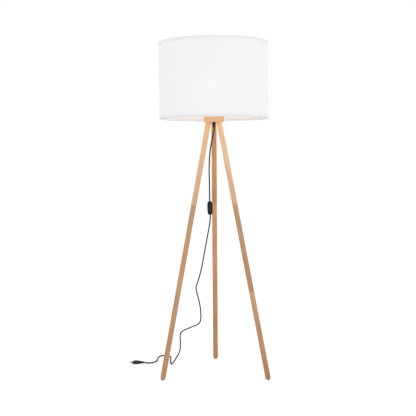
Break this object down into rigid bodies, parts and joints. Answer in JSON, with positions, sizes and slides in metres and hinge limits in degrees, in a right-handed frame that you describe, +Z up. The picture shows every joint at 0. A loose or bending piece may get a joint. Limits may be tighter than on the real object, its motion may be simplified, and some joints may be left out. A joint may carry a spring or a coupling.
{
  "type": "tripod floor lamp",
  "caption": "Floor lamp with a wide white drum shade on a round wooden head and splayed round wooden legs, with a black lead, hand switch and plug.",
  "frame": {"origin": "on the floor, on the lamp's centre line, which is the axis of the shade and the wooden head", "axes": "+Z up along the lamp's centre line; -Y is the lamp's front, towards the viewer; the rear leg leans straight back along +Y"},
  "size_m": [0.67, 0.5804, 1.518],
  "materials": {
    "wood": "light oiled hardwood, straight grain, satin",
    "felt": "dark brown pressed felt glide",
    "brass": "plain turned brass",
    "zinc_steel": "bright zinc-plated steel",
    "black_plastic": "black moulded plastic, fine matt texture",
    "black_lead": "black soft PVC sheath, satin",
    "ceramic": "glazed off-white insulator",
    "opal": "opal bulb globe, lit warm",
    "bulb_white": "white moulded lamp body",
    "nickel": "nickel-plated metal",
    "black_glass": "black insulating glass",
    "shade_fabric": "white plain-weave cotton, laminated",
    "shade_liner": "translucent white liner film",
    "white_wire": "white powder-coated steel wire"
  },
  "bodies": {
    "stand": {"head_disc": "wood", "leg_left_upper": "wood", "leg_left_middle": "wood", "leg_left_lower": "wood", "leg_right_upper": "wood", "leg_right_middle": "wood", "leg_right_lower": "wood", "leg_rear_upper": "wood", "leg_rear_middle": "wood", "leg_rear_lower": "wood", "foot_glides": "felt", "head_inserts": "brass", "leg_inserts": "brass", "screw_shell": "brass", "centre_contact": "brass", "terminal_screws": "brass", "switch_contacts": "brass", "head_studs": "zinc_steel", "leg_studs": "zinc_steel", "nipple_tube": "zinc_steel", "nipple_washer": "zinc_steel", "nipple_nut": "zinc_steel", "switch_screws": "zinc_steel", "cord_grip": "black_plastic", "grip_screw": "black_plastic", "holder_cap": "black_plastic", "holder_shell": "black_plastic", "switch_front": "black_plastic", "switch_back": "black_plastic", "plug_body": "black_plastic", "plug_sleeves": "black_plastic", "cord_inner": "black_lead", "cord_upper": "black_lead", "cord_lower": "black_lead", "holder_core": "ceramic", "plug_pins": "nickel"},
    "shade": {"shade_fabric": "shade_fabric", "shade_liner": "shade_liner", "shade_wire_top": "white_wire", "shade_wire_bottom": "white_wire", "shade_hem_top": "shade_fabric", "shade_hem_bottom": "shade_fabric", "shade_seam": "shade_fabric", "shade_carrier": "white_wire", "carrier_arm_right": "white_wire", "carrier_arm_left": "white_wire", "carrier_arm_front": "white_wire"},
    "shade_ring": {"shade_ring": "black_plastic"},
    "bulb": {"bulb_globe": "opal", "bulb_body": "bulb_white", "bulb_cap": "nickel", "bulb_insulator": "black_glass", "bulb_contact": "nickel", "bulb_board": "bulb_white"},
    "rocker": {"switch_rocker": "black_plastic"}
  },
  "joints": [
    {"name": "shade_turn", "type": "hinge", "parent": "stand", "child": "shade", "pos_m": [0, 0, 1.2223], "axis": [0, 0, 1], "continuous": true},
    {"name": "ring_turn", "type": "hinge", "parent": "stand", "child": "shade_ring", "pos_m": [0, 0, 1.2296], "axis": [0, 0, 1], "range_deg": [0, 1080]},
    {"name": "bulb_turn", "type": "hinge", "parent": "stand", "child": "bulb", "pos_m": [0, 0, 1.2223], "axis": [0, 0, 1], "range_deg": [0, 2160]},
    {"name": "rocker_tilt", "type": "hinge", "parent": "stand", "child": "rocker", "pos_m": [-0.0205, -0.005, 0.765], "axis": [0.9995, 0, 0.0314], "range_deg": [-14, 0]}
  ]
}
